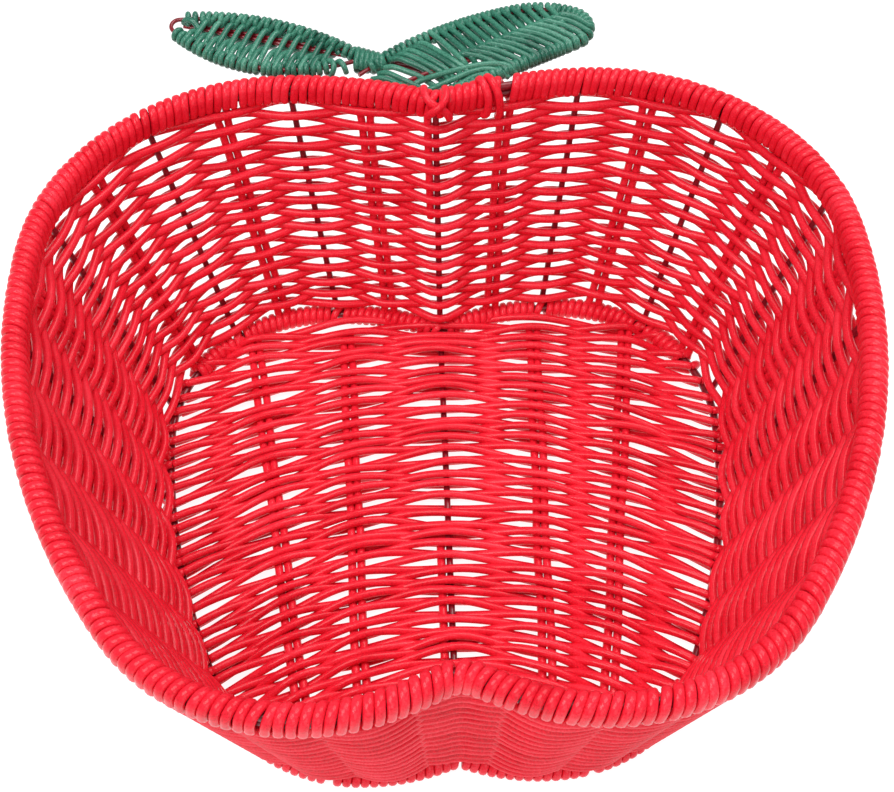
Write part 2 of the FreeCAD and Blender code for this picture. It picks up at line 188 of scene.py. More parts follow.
def curve(points, per=5):
    """A smooth line through points (Catmull-Rom)."""
    p = np.asarray(points, float)
    p = np.vstack([2 * p[0] - p[1], p, 2 * p[-1] - p[-2]])
    t = (np.arange(per) / per)[:, None]
    out = []
    for a, b, c, d in zip(p[:-3], p[1:-2], p[2:-1], p[3:]):
        out.append(0.5 * (2 * b + (c - a) * t + (2 * a - 5 * b + 4 * c - d) * t ** 2
                          + (3 * b - a - 3 * c + d) * t ** 3))
    return np.vstack(out + [p[-2:-1]])


def lift(flat, z):
    """Flat points raised to a height."""
    return np.concatenate([flat, np.broadcast_to(z, flat.shape[:-1])[..., None]], -1)


# --- cords ---------------------------------------------------------------------------------------

CAP_SIZE = 0.8          # a cut end narrows to this share of the cord,
CAP_LENGTH = 0.25       # over this length


class Cords:
    """Cords gathered into one mesh, each with a tint from -1 to 1."""

    def __init__(self, seed):
        self.points, self.faces, self.tints, self.count = [], [], [], 0
        self.rng = np.random.default_rng(seed)

    def add(self, line, across, radius, sides=8, closed=False, wide=1.0, square=1.0, tint=None):
        """A cord along a line. across points to its side, where it may be wider than it is thick.
        Below 1, square flattens its section towards a rounded box."""
        line = np.asarray(line, float)
        if closed:
            ahead = np.roll(line, -1, 0) - np.roll(line, 1, 0)
        else:
            ahead = np.gradient(line, axis=0)
        ahead = unit(ahead)
        across = np.broadcast_to(np.asarray(across, float), line.shape)
        side = unit(across - (across * ahead).sum(1, keepdims=True) * ahead)
        up = np.cross(ahead, side)
        angle = 2 * math.pi * np.arange(sides) / sides
        spread = (wide * power(np.cos(angle), square)[:, None] * side[:, None]
                  + power(np.sin(angle), square)[:, None] * up[:, None])
        radius = np.broadcast_to(radius, len(line))[:, None, None]
        rings = line[:, None] + radius * spread
        n = len(line)
        index = self.count + np.arange(n * sides).reshape(n, sides)
        nearer, further = (index, np.roll(index, -1, 0)) if closed else (index[:-1], index[1:])
        quads = np.stack([nearer, np.roll(nearer, -1, 1), np.roll(further, -1, 1), further], -1)
        self.faces.extend(quads.reshape(-1, 4).tolist())
        self.points.append(rings.reshape(-1, 3))
        made = n * sides
        if not closed:
            # A cut end is slightly rounded, so each cap is a smaller ring and then a flat face.
            for ring, out, order in ((rings[0], -ahead[0], 1), (rings[-1], ahead[-1], -1)):
                middle = ring.mean(0)
                small = middle + (ring - middle) * CAP_SIZE + out * CAP_LENGTH
                first = index[0] if order == 1 else index[-1]
                cap = self.count + made + np.arange(sides)
                bevel = np.stack([first, cap, np.roll(cap, -1), np.roll(first, -1)], -1)[:, ::order]
                self.faces.extend(bevel.tolist())
                self.faces.append(cap[::-order].tolist())
                self.points.append(small)
                made += sides
        tint = self.rng.uniform(-1, 1) if tint is None else tint
        around = np.repeat(np.broadcast_to(tint, n), sides)
        self.tints.append(np.concatenate([around, np.full(made - len(around), around[-1])]))
        self.count += made

    def make(self, name, material, nodes):
        """The mesh as one piece that stands for CAD nodes."""
        mesh = bpy.data.meshes.new(name)
        points = np.vstack(self.points) * MM
        mesh.from_pydata(points.tolist(), [], self.faces)
        mesh.update()
        mesh.shade_smooth()
        tint = mesh.attributes.new("tint", "FLOAT", "POINT")
        tint.data.foreach_set("value", np.concatenate(self.tints).astype(np.float32))
        mesh.materials.append(material)
        piece = bpy.data.objects.new(name, mesh)
        bpy.context.collection.objects.link(piece)
        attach(piece, "root")
        if nodes:
            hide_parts(*nodes)
        return piece


# --- materials -----------------------------------------------------------------------------------

def new_material(name):
    material = bpy.data.materials.new(name)
    material.use_nodes = True
    tree = material.node_tree
    return material, tree, tree.nodes["Principled BSDF"]


def noise(tree, scale, detail=2.0, roughness=0.5):
    """Noise in the object's own coordinates."""
    place = tree.nodes.new("ShaderNodeTexCoord")
    node = tree.nodes.new("ShaderNodeTexNoise")
    node.inputs["Scale"].default_value = scale
    node.inputs["Detail"].default_value = detail
    node.inputs["Roughness"].default_value = roughness
    tree.links.new(place.outputs["Object"], node.inputs["Vector"])
    return node.outputs["Fac"]


def ramp(tree, value, stops):
    node = tree.nodes.new("ShaderNodeValToRGB")
    node.color_ramp.interpolation = "EASE"
    elements = node.color_ramp.elements
    for element, (place, colour) in zip(elements, stops):
        element.position, element.color = place, (*colour, 1)
    for place, colour in stops[len(elements):]:
        elements.new(place).color = (*colour, 1)
    tree.links.new(value, node.inputs["Fac"])
    return node.outputs["Color"]


BUMP_DISTANCE = 0.0001


def bump(tree, shader, height, strength):
    node = tree.nodes.new("ShaderNodeBump")
    node.inputs["Strength"].default_value = strength
    node.inputs["Distance"].default_value = BUMP_DISTANCE
    tree.links.new(height, node.inputs["Height"])
    tree.links.new(node.outputs["Normal"], shader.inputs["Normal"])


def math_node(tree, operation, a, b):
    node = tree.nodes.new("ShaderNodeMath")
    node.operation = operation
    for socket, value in zip(node.inputs, (a, b)):
        if isinstance(value, (int, float)):
            socket.default_value = value
        else:
            tree.links.new(value, socket)
    return node.outputs["Value"]


CLOUD_SCALE, CLOUD_SHARE = 70.0, 0.9        # soft patches, 14 mm across
SPECKLE_SCALE, GRAIN_AND_GLINT_SHARE = 1900.0, 1.5  # and grains of half a millimetre, partly painted sparkle highlights
TINT_SHARE = 0.16
CORD_ROUGHNESS = 0.45, 0.65                 # between grains and on them


def add_about_zero(tree, value, varying, share):
    """Adds a share of a value that varies round 0.5."""
    varying = math_node(tree, "SUBTRACT", varying, 0.5)
    return math_node(tree, "ADD", value, math_node(tree, "MULTIPLY", varying, share))


def cord_material(name, dark, middle, light, coat):
    """Extruded plastic cord: satin, tinted a little from cord to cord, with fine grain whose lighter
    flecks are painted sparkle highlights.
    """
    material, tree, shader = new_material(name)
    tint = tree.nodes.new("ShaderNodeAttribute")
    tint.attribute_name = "tint"
    value = math_node(tree, "MULTIPLY", tint.outputs["Fac"], TINT_SHARE)
    value = math_node(tree, "ADD", value, 0.5)
    value = add_about_zero(tree, value, noise(tree, CLOUD_SCALE, 3.0), CLOUD_SHARE)
    # Fine grain in the colour, the roughness and the bump; in the colour its lighter grains are
    # painted sparkle highlights.
    grain_and_glints = noise(tree, SPECKLE_SCALE, 2.0, 0.7)
    value = add_about_zero(tree, value, grain_and_glints, GRAIN_AND_GLINT_SHARE)
    colour = ramp(tree, value, [(0.15, dark), (0.5, middle), (0.9, light)])
    tree.links.new(colour, shader.inputs["Base Color"])
    rough = tree.nodes.new("ShaderNodeMapRange")
    rough.inputs["From Min"].default_value = 0.35
    rough.inputs["From Max"].default_value = 0.65
    rough.inputs["To Min"].default_value, rough.inputs["To Max"].default_value = CORD_ROUGHNESS
    tree.links.new(grain_and_glints, rough.inputs["Value"])
    tree.links.new(rough.outputs["Result"], shader.inputs["Roughness"])
    shader.inputs["Specular IOR Level"].default_value = 0.1
    shader.inputs["Coat Weight"].default_value = coat
    shader.inputs["Coat Roughness"].default_value = 0.12
    shader.inputs["Coat IOR"].default_value = 1.4
    bump(tree, shader, grain_and_glints, 0.35)
    return material


RED_CORD = cord_material("red_cord_plastic", (0.66, 0.006, 0.019), (0.84, 0.012, 0.032),
                         (0.92, 0.036, 0.064), coat=0.6)
GREEN_CORD = cord_material("green_cord_plastic", (0.010, 0.092, 0.058), (0.032, 0.185, 0.120),
                           (0.095, 0.310, 0.215), coat=1.0)


def paint_material():
    """Glossy wine-red enamel on wire, with darker patches and a finely uneven surface."""
    material, tree, shader = new_material("wine_red_enamel")
    value = noise(tree, 160.0, 4.0, 0.6)
    colour = ramp(tree, value, [(0.3, (0.11, 0.002, 0.006)), (0.5, (0.20, 0.004, 0.011)),
                                (0.75, (0.32, 0.010, 0.020))])
    tree.links.new(colour, shader.inputs["Base Color"])
    shader.inputs["Roughness"].default_value = 0.3
    shader.inputs["Coat Weight"].default_value = 0.3
    shader.inputs["Coat Roughness"].default_value = 0.08
    bump(tree, shader, noise(tree, 900.0), 0.15)
    return material


PAINT = paint_material()

for name, item in bpy.data.objects.items():
    if "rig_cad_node" in item and ("wire" in name or "rib" in name):
        for material_slot in item.material_slots:
            material_slot.material = PAINT


# --- wall ----------------------------------------------------------------------------------------

def wall_point(share, z, out, smoothing=3.0):
    """A point of the wall at a share of the way round, a height, and a distance outward."""
    t = ((z - BASE_Z) / (LOW_RIM_Z - BASE_Z))[..., None]
    middle = base.at(share) * (1 - t) + rim.at(share) * t
    normal = unit(base.outward(share, smoothing) * (1 - t) + rim.outward(share, smoothing) * t)
    return lift(middle + normal * out[..., None], z)


WALL_ROWS = 30
FIRST_ROW_Z = 9.8
LAST_ROW_Z = 85.8
POINTS_PER_ROW = RIBS * 2 * 9
RIB_SWING = 2.1         # the cords give a little where they cross a rib or a pair
PAIR_SWING = 2.3
ROW_SWELL = 0.8         # height of the waves that rows share
ROW_WAVER = 0.24        # and of each row's own

rng = np.random.default_rng(11)
shared_waves = [waves(rng, 7, 2, 13) for _ in range(4)]


def row_height(row, share):
    """Height of a wall row: evenly spaced, with waves that neighbouring rows share."""
    level = row / (WALL_ROWS - 1)
    even = FIRST_ROW_Z + (LAST_ROW_Z - FIRST_ROW_Z) * level
    weights = [1.0, math.sin(3.1 * level), math.cos(6.3 * level), math.sin(9.0 * level + 1)]
    swell = sum(w * wander(share, drawn) for w, drawn in zip(weights, shared_waves)) / 2
    edge = smooth(np.array(level * 6)) * (0.35 + 0.65 * smooth(np.array((1 - level) * 6)))
    return even + ROW_SWELL * swell * edge


share = np.arange(POINTS_PER_ROW) / POINTS_PER_ROW
wall = Cords(21)
for row in range(WALL_ROWS):
    own = waves(rng, 10, 8, 40)
    z = row_height(row, share) + ROW_WAVER * wander(share, own)
    swing = -np.cos(math.pi * (2 * RIBS * share + row))
    at_rib = 0.5 + 0.5 * np.cos(2 * math.pi * RIBS * share)
    out = swing * (RIB_SWING * at_rib + PAIR_SWING * (1 - at_rib))
    wall.add(wall_point(share, z, out), (0, 0, 1), radius=WALL_CORD / 2, closed=True)
wall.make("wall_weave_cords", RED_CORD, ["wall_weave"])

PAIR_HALF = 1.47        # half the distance between the two cords of a pair
SPLAY_TOP, SPLAY_FOOT = 1.1, 0.4    # how much further apart each goes near the rim and the base
TUCK = 1.5              # how far below the rim's middle the pairs end, among the wraps
for number in range(RIBS):
    place = (number + 0.5) / RIBS
    pair = Cords(100 + number)
    z = np.linspace(BASE_Z + 2.2, RIM_Z - TUCK, 40)
    up = (z - z[0]) / (z[-1] - z[0])
    lean = 0.3 * np.sin(up * rng.uniform(4, 8) + rng.uniform(0, 6))
    for side in (-1, 1):
        splay = (PAIR_HALF + SPLAY_TOP * smooth((up - 0.86) / 0.14) ** 1.5
                 + SPLAY_FOOT * smooth((0.1 - up) / 0.1))
        shift = (side * splay + lean) / (base.length * (1 - up) + rim.length * up)
        line = wall_point(place + shift, z, 0 * z)
        pair.add(line, lift(rim.way(place), 0.0), radius=TIGHT_RADIUS)
    pair.make(f"wall_stake_cords_{number + 1:02d}", RED_CORD,
              [f"wall_stake_pair_{number + 1:02d}"])

# A spare cord runs down beside the rear rib and ends halfway.
SPARE_ASIDE = 2.9
SPARE_FOOT_Z = 49.0
z = np.linspace(RIM_Z - TUCK, SPARE_FOOT_Z, 30)
spare = Cords(140)
spare.add(wall_point(np.full(len(z), -SPARE_ASIDE / rim.length), z, 0 * z), (1, 0, 0),
          radius=TIGHT_RADIUS)
spare.make("wall_spare_cord", RED_CORD, [])


# --- wraps round the rim and the base ring -------------------------------------------------------

def slot_shape(turn, radius, half_step):
    """Outward and upward places round an upright slot shape, from its foot up its inner side."""
    straight, bend = 2 * half_step, math.pi * radius
    s = np.mod(turn, 1.0) * (2 * straight + 2 * bend)
    s1, s2, s3 = bend / 2, bend / 2 + straight, 1.5 * bend + straight
    s4 = s3 + straight
    a = s / radius
    b = (s - s2) / radius
    c = (s - s4) / radius
    out = np.select([s < s1, s < s2, s < s3, s < s4],
                    [-radius * np.sin(a), -radius + 0 * s, -radius * np.cos(b), radius + 0 * s],
                    radius * np.cos(c))
    high = np.select([s < s1, s < s2, s < s3, s < s4],
                     [-half_step - radius * np.cos(a), -half_step + (s - s1),
                      half_step + radius * np.sin(b), half_step - (s - s3)],
                     -half_step - radius * np.sin(c))
    return out, high


RIM_TURNS = 17          # between two ribs
RIM_GAP = 0.6           # more room where a rib comes up through the wraps
STEPS = 26              # points per turn
WRAP_LEAN = 0.5         # how far a turn's outside is ahead of its middle
DRIFT = 0.10            # how unevenly the turns are spaced,
TIGHTNESS = 0.012       # and what share of their size they vary by
STEM_X = 24.6           # where the left leaf's stem comes in between two turns,
STEM_GAP = 4.0          # which leave this much more room
segment = rim.length / RIBS
pitch = (segment - RIM_GAP) / RIM_TURNS
turn = np.arange(RIBS * RIM_TURNS * STEPS) / STEPS
rib_turn = np.arange(RIBS + 1) * RIM_TURNS + 0.5
run = pitch * (turn - 0.5)
for centre in rib_turn:
    run = run + RIM_GAP * smooth((turn - centre) / 0.5 + 0.5)
run -= RIM_GAP / 2
# The turns beside the stem's gap are pushed together.
stem_turn = STEM_X / pitch + 0.5
opened = smooth((turn - stem_turn) / 0.6 + 0.5)
made_up = np.clip((turn - stem_turn) / 20 + 0.5, 0, 1)
run = run + STEM_GAP * (opened - made_up)
share = run / rim.length
uneven = wander(turn / turn[-1], waves(rng, 40, 120, 400))
out, high = slot_shape(turn, WIRE / 2 + WRAP_THICK / 2, HALF_STEP)
share = share + WRAP_LEAN * out / out.max() / rim.length
tight = 1 + TIGHTNESS * wander(turn / turn[-1], waves(rng, 30, 60, 300))
wrap_xy = rim.at(share + DRIFT * uneven / rim.length)
wrap_xy = wrap_xy + rim.outward(share, 2.0) * (out * tight)[:, None]
wrap_line = lift(wrap_xy, RIM_Z + high * tight)
wrap = Cords(31)
turn_tints = np.random.default_rng(5).uniform(-1, 1, RIBS * RIM_TURNS + 1)
wrap.add(wrap_line, lift(rim.way(share, 2.0), 0.0), radius=WRAP_THICK / 2, sides=12, closed=True,
         wide=1.16, square=0.82, tint=np.interp(turn, np.arange(len(turn_tints)), turn_tints))


def rim_route(points):
    """A smooth line from points (distance from the notch, outward, up from the rim's middle)."""
    along, out, high = curve(points).T
    share = along / rim.length
    return lift(rim.at(share) + rim.outward(share, 3.0) * out[:, None], RIM_Z + high)


# Two loose ends cross at the notch, and two loops go down to the top row beside it.
TIES = [
    [(-4.5, 1.5, 5.0), (-3.4, -1.2, 5.4), (-1.8, -3.6, 4.6), (0.2, -4.9, 3.0), (1.8, -5.2, 1.0),
     (2.8, -4.8, -1.4), (3.4, -4.2, -3.4)],
    [(3.8, 1.2, 5.0), (3.2, -1.4, 5.6), (2.2, -4.2, 5.2), (0.4, -6.6, 3.8), (-0.9, -7.0, 2.0),
     (-1.8, -6.8, 0.4)],
    [(16.0, 3.2, 2.0), (16.2, 1.2, 5.2), (16.6, -1.8, 5.6), (17.2, -4.6, 3.2), (17.4, -5.2, -0.6),
     (17.0, -4.6, -5.0), (16.2, -3.2, -6.6)],
    [(18.8, 3.4, 2.0), (19.0, 1.4, 5.4), (19.8, -2.0, 5.8), (20.8, -4.9, 3.2), (21.4, -5.6, -1.0),
     (21.6, -5.0, -5.6), (21.4, -3.6, -8.0)],
]
TIE_RADIUS = 1.4
for points in TIES:
    wrap.add(rim_route(points), (1, 0, 0), radius=TIE_RADIUS, sides=10)
wrap.make("rim_wrap_cord", RED_CORD, ["rim_wrap"])

BASE_TURNS = 14         # between two ribs
BASE_GAP = 2.2          # more room at a rib
BASE_STEPS = 20
SIDEWAYS = 0.75         # where the ring faces sideways by more, the base's own rows go round it,
WRAPPED = 0.87          # and the wrap ends a little further on than they begin
segment = base.length / RIBS
pitch = (segment - BASE_GAP) / BASE_TURNS
turn = np.arange(RIBS * BASE_TURNS * BASE_STEPS) / BASE_STEPS
run = pitch * (turn - 0.5)
for centre in np.arange(RIBS + 1) * BASE_TURNS + 0.5:
    run = run + BASE_GAP * smooth((turn - centre) / 0.5 + 0.5)
share = (run - BASE_GAP / 2) / base.length
radius = WIRE / 2 + WRAP_THICK / 2
angle = 2 * math.pi * turn
line = lift(base.at(share) - base.outward(share, 2.0) * (radius * np.sin(angle))[:, None],
            BASE_Z - (radius - 0.05) * np.cos(angle))
wrapped = np.abs(base.outward(share, 4.0)[:, 0]) < WRAPPED
first = len(turn) // 4  # the lists start at a side, so that no wrapped stretch is cut in two
line, wrapped, way = (np.roll(v, -first, 0) for v in (line, wrapped, base.way(share, 2.0)))
ring_wrap = Cords(41)
edges = np.flatnonzero(np.diff(np.concatenate([[0], wrapped.astype(int), [0]])))
for a, b in zip(edges[::2], edges[1::2]):
    if b - a > BASE_STEPS:
        ring_wrap.add(line[a:b], lift(way[a:b], 0.0), radius=WRAP_THICK / 2, sides=10, wide=1.1,
                      square=0.85)
ring_wrap.make("base_ring_wrap_cord", RED_CORD, ["base_ring_wrap"])


# --- base ----------------------------------------------------------------------------------------

BASE_ROWS = 58
REAR_Y = 57.8           # of the rearmost row at X = 0
FRONT_Y = -73.2
STAKE_X = {"inner": (29.0, 35.0), "outer": (48.0, 70.0)}    # at the front and at the rear
STAKE_Y = (-90.0, 60.0)
SWING = 2.45            # how far a row goes above and below the stakes' middle
ARCH, MORE_ARCH = 0.0017, 0.0029    # bend of the rearmost row, and how much more the foremost has
ROW_OWN = 0.2           # height of each row's own waves
LOOP_STEPS = 9
ROW_STEPS = 161
SHORTEST_ROW = 10       # steps
ROWS_BEFORE, ROWS_AFTER = 3, 16     # past the rearmost and the foremost row, in the ring's lobes


def stake_x(which, y):
    return np.interp(y, STAKE_Y, STAKE_X[which])


def row_ends(flat):
    """First and last index of each stretch of a row inside the base ring."""
    inside = base.holds(flat, 0.2)
    edges = np.flatnonzero(np.diff(np.concatenate([[0], inside.astype(int), [0]])))
    return [(a, b) for a, b in zip(edges[::2], edges[1::2]) if b - a >= SHORTEST_ROW]


def row_line(part, sign):
    """A row's line, over and under the stakes in turn and on to the ring at both its ends."""
    x, y = np.abs(part[:, 0]), part[:, 1]
    inner, outer = stake_x("inner", y), stake_x("outer", y)
    end = np.where(part[:, 0] < 0, abs(part[0, 0]), abs(part[-1, 0]))
    beyond = 2 + (x - outer) / np.maximum(end - outer, 6.0)
    between = 1 + (x - inner) / (outer - inner)
    phase = np.where(x < inner, x / inner, np.where(x < outer, between, beyond))
    return lift(part, BASE_Z + sign * SWING * np.cos(math.pi * phase))


floor_rng = np.random.default_rng(77)
# Rows bunch and part in waves: size, period in rows, phase, and how each varies along a row.
SIZES_AND_PERIODS = (0.9, 41), (0.75, 17), (0.55, 9), (0.45, 6.1), (0.3, 4.3), (0.2, 3.1)
BUNCHES = [(size, period, floor_rng.uniform(), waves(floor_rng, 6, 1, 8))
           for size, period in SIZES_AND_PERIODS]
rows = Cords(51)
row_ends_at = {}
x = np.linspace(-96, 96, ROW_STEPS)
for row in range(-ROWS_BEFORE, BASE_ROWS + ROWS_AFTER):
    level = row / (BASE_ROWS - 1)
    arch = ARCH + MORE_ARCH * level
    place = x / 400 + 0.5
    spread = sum(size * math.sin(2 * math.pi * (row / period + phase)) * wander(place, drawn)
                 for size, period, phase, drawn in BUNCHES)
    own = wander(place, waves(floor_rng, 5, 4, 16))
    y = REAR_Y + (FRONT_Y - REAR_Y) * level - arch * x * x + spread + ROW_OWN * own
    sign = 1 if row % 2 == 0 else -1
    flat = np.stack([x, y], -1)
    for a, b in row_ends(flat):
        line = row_line(flat[a:b], sign)
        rows.add(line, (0, 1, 0), radius=TIGHT_RADIUS)
        for side, point in ((-1, line[0]), (1, line[-1])):
            row_ends_at.setdefault((row, side), point)

# A row goes round the ring and comes back as the next one, unless that is too far along the ring.
FURTHEST_LOOP = 0.02
for (row, side), point in sorted(row_ends_at.items()):
    back = row_ends_at.get((row + 1, side))
    if back is None or (row % 2 == 0) != (side == 1):
        continue
    shares = [base.nearest(p[:2]) for p in (point, back)]
    sideways = abs(base.outward(np.array(shares[:1]), 4.0)[0, 0])
    if sideways < SIDEWAYS or abs(shares[1] - shares[0]) > FURTHEST_LOOP:
        continue
    t = np.linspace(-0.08, 1.08, LOOP_STEPS)
    rise = math.copysign(1, back[2] - point[2])
    angle = math.pi * (t - 0.5)
    share = shares[0] + (shares[1] - shares[0]) * smooth(t)
    loop = lift(base.at(share) + base.outward(share, 4.0) * (SWING * np.cos(angle))[:, None],
                BASE_Z + rise * SWING * np.sin(angle))
    rows.add(loop, lift(base.way(share, 4.0), 0.0), radius=TIGHT_RADIUS)

# A short spare cord lies beside the base's rib.
BASE_SPARE_X = -2.8
y = np.linspace(-76.0, -34.0, 16)
flat = np.stack([np.full(len(y), BASE_SPARE_X), y], -1)
rows.add(lift(flat, BASE_Z), (1, 0, 0), radius=TIGHT_RADIUS)
rows.make("base_weave_cords", RED_CORD, ["base_weave"])

for side_name, side in (("right", 1), ("left", -1)):
    for which in ("inner", "outer"):
        pair = Cords(200 + 3 * side + len(which))
        y = np.linspace(*STAKE_Y, 60)
        flat = np.stack([side * stake_x(which, y), y], -1)
        flat = flat[base.holds(flat, 1.0)]
        along = np.linspace(0, 1, len(flat))
        for half in (-1, 1):
            sway = 0.25 * np.sin(2 * math.pi * (pair.rng.uniform(1, 3) * along + pair.rng.uniform()))
            shift = half * PAIR_HALF + sway
            pair.add(lift(flat + shift[:, None] * [1, 0], BASE_Z), (1, 0, 0), radius=TIGHT_RADIUS)
        name = f"base_stake_cords_{side_name}_{which}"
        pair.make(name, RED_CORD, [f"base_stake_pair_{side_name}_{which}"])


# --- leaves --------------------------------------------------------------------------------------

LEAF_TILT = math.radians(10)
LEAF_PIVOT = np.array([0.0, 92.85, 87.0])
EDGE_RADIUS = (LEAF_WIRE + LEAF_CORD) / 2


def to_space(plane_points):
    """Points (x, w, height) of the leaves' plane, in the frame."""
    x, w, h = np.asarray(plane_points, float).T
    c, s = math.cos(LEAF_TILT), math.sin(LEAF_TILT)
    return LEAF_PIVOT + np.stack([x, w * c - h * s, w * s + h * c], -1)


LEAF_UP = np.array([0.0, -math.sin(LEAF_TILT), math.cos(LEAF_TILT)])


class Leaf:
    """A leaf's edge wire from the near edge round the tip to the far edge, and its midrib's line.
    Along and across are measured from the plane's pivot, along the midrib and to its far side.
    Bends are (radius, turn to the right), or (length, None) for a straight."""

    def __init__(self, start, heading, bends, along, midrib_start, inward):
        points, angle = [np.array(start)], math.radians(heading)
        for radius, turn in bends:
            if turn is None:
                way = np.array([math.cos(angle), math.sin(angle)])
                first = points[-1]
                points += [first + way * d for d in np.arange(0.2, radius, 0.2)]
            else:
                angle = add_arc(points, angle, radius, math.radians(turn))
        self.ring = np.array(points)
        steps = np.linalg.norm(np.diff(self.ring, axis=0), axis=1)
        self.run = np.concatenate([[0], np.cumsum(steps)])
        self.inward = inward
        c, s = math.cos(math.radians(along)), math.sin(math.radians(along))
        self.axes = np.array([[c, s], [-s, c]])
        self.middle = float(self.axes[1] @ np.array(midrib_start))
        self.local = self.ring @ self.axes.T
        self.tip = int(np.abs(self.local[:, 0]).argmax())

    def edge_run(self, far, along):
        """Distance along the edge wire at a place along the near or the far edge."""
        part = slice(self.tip, None) if far else slice(0, self.tip + 1)
        a, s = self.local[part, 0], self.run[part]
        order = np.argsort(a)
        return float(np.interp(along, a[order], s[order]))

    def local_at(self, s):
        """Along and across at a distance along the edge wire."""
        return self.local[np.abs(self.run - s).argmin()]

    def edge(self, s):
        """A point of the edge wire, and the direction from there into the leaf."""
        point = np.array([np.interp(s, self.run, self.ring[:, k]) for k in (0, 1)])
        ahead = np.array([np.interp(s + 0.5, self.run, self.ring[:, k]) for k in (0, 1)])
        back = np.array([np.interp(s - 0.5, self.run, self.ring[:, k]) for k in (0, 1)])
        way = (ahead - back) / np.linalg.norm(ahead - back)
        return point, np.array([-way[1], way[0]]) * self.inward

    def turn(self, s, first, last, drift=0.0, radius=EDGE_RADIUS):
        """Points round the edge wire, from one angle to another: 0 above it, 90 inside it."""
        angles = np.radians(np.linspace(first, last, max(2, int(abs(last - first) // 40) + 1)))
        places = s + drift * np.linspace(-0.5, 0.5, len(angles))
        out = []
        for place, angle in zip(places, angles):
            point, inside = self.edge(place)
            out.append([*(point + inside * radius * math.sin(angle)), radius * math.cos(angle)])
        return out

    def inner(self, along, across, height):
        """A point at a place along the leaf and across it."""
        return [*(np.array([along, across]) @ self.axes), height]


def leaf_cord(cords, points):
    cords.add(to_space(curve(points)), LEAF_UP, radius=LEAF_CORD / 2)


def short_wraps(cords, leaf, runs):
    """Single turns round the edge wire, with their ends tucked inside."""
    for s in runs:
        jitter = cords.rng.uniform(-0.15, 0.15)
        leaf_cord(cords, leaf.turn(s + jitter, 95, 455, 0.5))


left = Leaf((-28.0, 18.1), 198.7, [(60.2, 65.8), (3.0, 130.3), (99.5, 37.8)],
            -15.0, (-87.9, 38.4), -1)
right = Leaf((0.7, 1.0), 25.1, [(55.6, None), (6.8, -133.4), (36.1, -33.7), (132.7, -27.0)],
             25.0, (-13.0, 4.8), 1)

# Left leaf: a pass goes under the midrib, the next comes back over it, and each rounds both edges.
HOOKS = 12
HOOK_STEP = 4.24
FIRST_HOOK = -86.8
UNEVEN = 0.25           # how much hooks vary in place


def hook_under(leaf, hook):
    """From the near edge, under the midrib, to the far edge."""
    near = leaf.edge_run(False, hook - 4.2)
    far = leaf.edge_run(True, min(hook + 2.8, -35.0))
    near_across, far_across = leaf.local_at(near)[1], leaf.local_at(far)[1]
    gap = leaf.middle - near_across
    way = [leaf.inner(hook - 3.1, near_across + 0.42 * gap, 1.2),
           leaf.inner(hook - 1.4, near_across + 0.75 * gap, -1.4),
           leaf.inner(hook + 0.2, leaf.middle, -3.5),
           leaf.inner(hook + 1.2, (leaf.middle + far_across) / 2, -0.6)]
    return leaf.turn(near, 100, 360, -0.6) + way + leaf.turn(far, 360, 110, -0.6)


def hook_over(leaf, hook):
    """From the far edge, close over the midrib, to the near edge."""
    near = leaf.edge_run(False, hook - 2.15)
    far = leaf.edge_run(True, min(hook + 0.6, -36.0))
    near_across = leaf.local_at(near)[1]
    gap = leaf.middle - near_across
    way = [leaf.inner(hook + 1.5, leaf.middle + 2.9, -2.6),
           leaf.inner(hook + 1.0, leaf.middle + 2.9, -0.7),
           leaf.inner(hook + 0.4, leaf.middle + 1.7, 0.6),
           leaf.inner(hook - 0.4, leaf.middle - 1.2, 0.85),
           leaf.inner(hook - 1.2, near_across + 0.45 * gap, 0.8),
           leaf.inner(hook - 1.7, near_across + 0.26 * gap, 0.2)]
    return leaf.turn(far, 450, 180, 0.6) + way + leaf.turn(near, 90, 440, 0.8)


cords = Cords(61)
for n in range(HOOKS):
    hook = FIRST_HOOK + HOOK_STEP * n + cords.rng.uniform(-UNEVEN, UNEVEN)
    leaf_cord(cords, hook_under(left, hook))
    leaf_cord(cords, hook_over(left, hook))
tip_along = left.local[left.tip, 0]
for far, places in ((False, np.arange(tip_along + 3.6, FIRST_HOOK - 5.0, 2.2)),
                    (True, np.arange(tip_along + 5.0, FIRST_HOOK + 0.4, 2.5)),
                    (False, (-42.3, -40.2)), (True, (-35.0, -32.6))):
    short_wraps(cords, left, [left.edge_run(far, along) for along in places])

# The cord's start lies along the tip, and its end winds loosely down to the stem.
LOOSE = [
    [(-88.0, 38.0, -0.6), (-87.2, 37.9, 1.0), (-85.8, 37.4, 1.9), (-83.8, 36.0, 1.8),
     (-82.2, 33.9, 0.6)],
    [(-37.0, 17.9, 0.2), (-36.2, 17.4, 1.5), (-35.0, 16.4, 1.8), (-34.6, 14.6, 1.3),
     (-35.2, 13.3, 0.0), (-36.0, 13.4, -1.4)],
    [(-33.6, 17.6, 0.2), (-32.6, 17.0, 1.5), (-31.6, 15.8, 1.6), (-30.8, 14.4, 0.8),
     (-30.4, 13.8, -0.8)],
]
for points in LOOSE:
    leaf_cord(cords, points)
cords.make("left_leaf_cords", GREEN_CORD, ["left_leaf_weave"])

# The stem's wrap: an oval winding that narrows towards the rim.
STEM_TURNS = 5.6
STEM_START = np.array([-26.9, 19.6])
STEM_WAY = np.array([9.6, -2.1])
cords = Cords(62)
t = np.linspace(0, 1, int(STEM_TURNS * 22))
angle = 2 * math.pi * STEM_TURNS * t
half_width, half_height = 4.4 - 1.7 * t, 2.75 - 0.3 * t
centre = STEM_START + t[:, None] * STEM_WAY
cross = unit(np.array([-STEM_WAY[1], STEM_WAY[0]]))
plane_line = np.concatenate([centre + cross * (half_width * np.cos(angle))[:, None],
                             (-0.9 + half_height * np.sin(angle))[:, None]], 1)
cords.add(to_space(plane_line), LEAF_UP, radius=LEAF_CORD / 2, sides=10)
cords.make("left_leaf_stem_wrap_cord", GREEN_CORD, ["left_leaf_stem_wrap"])

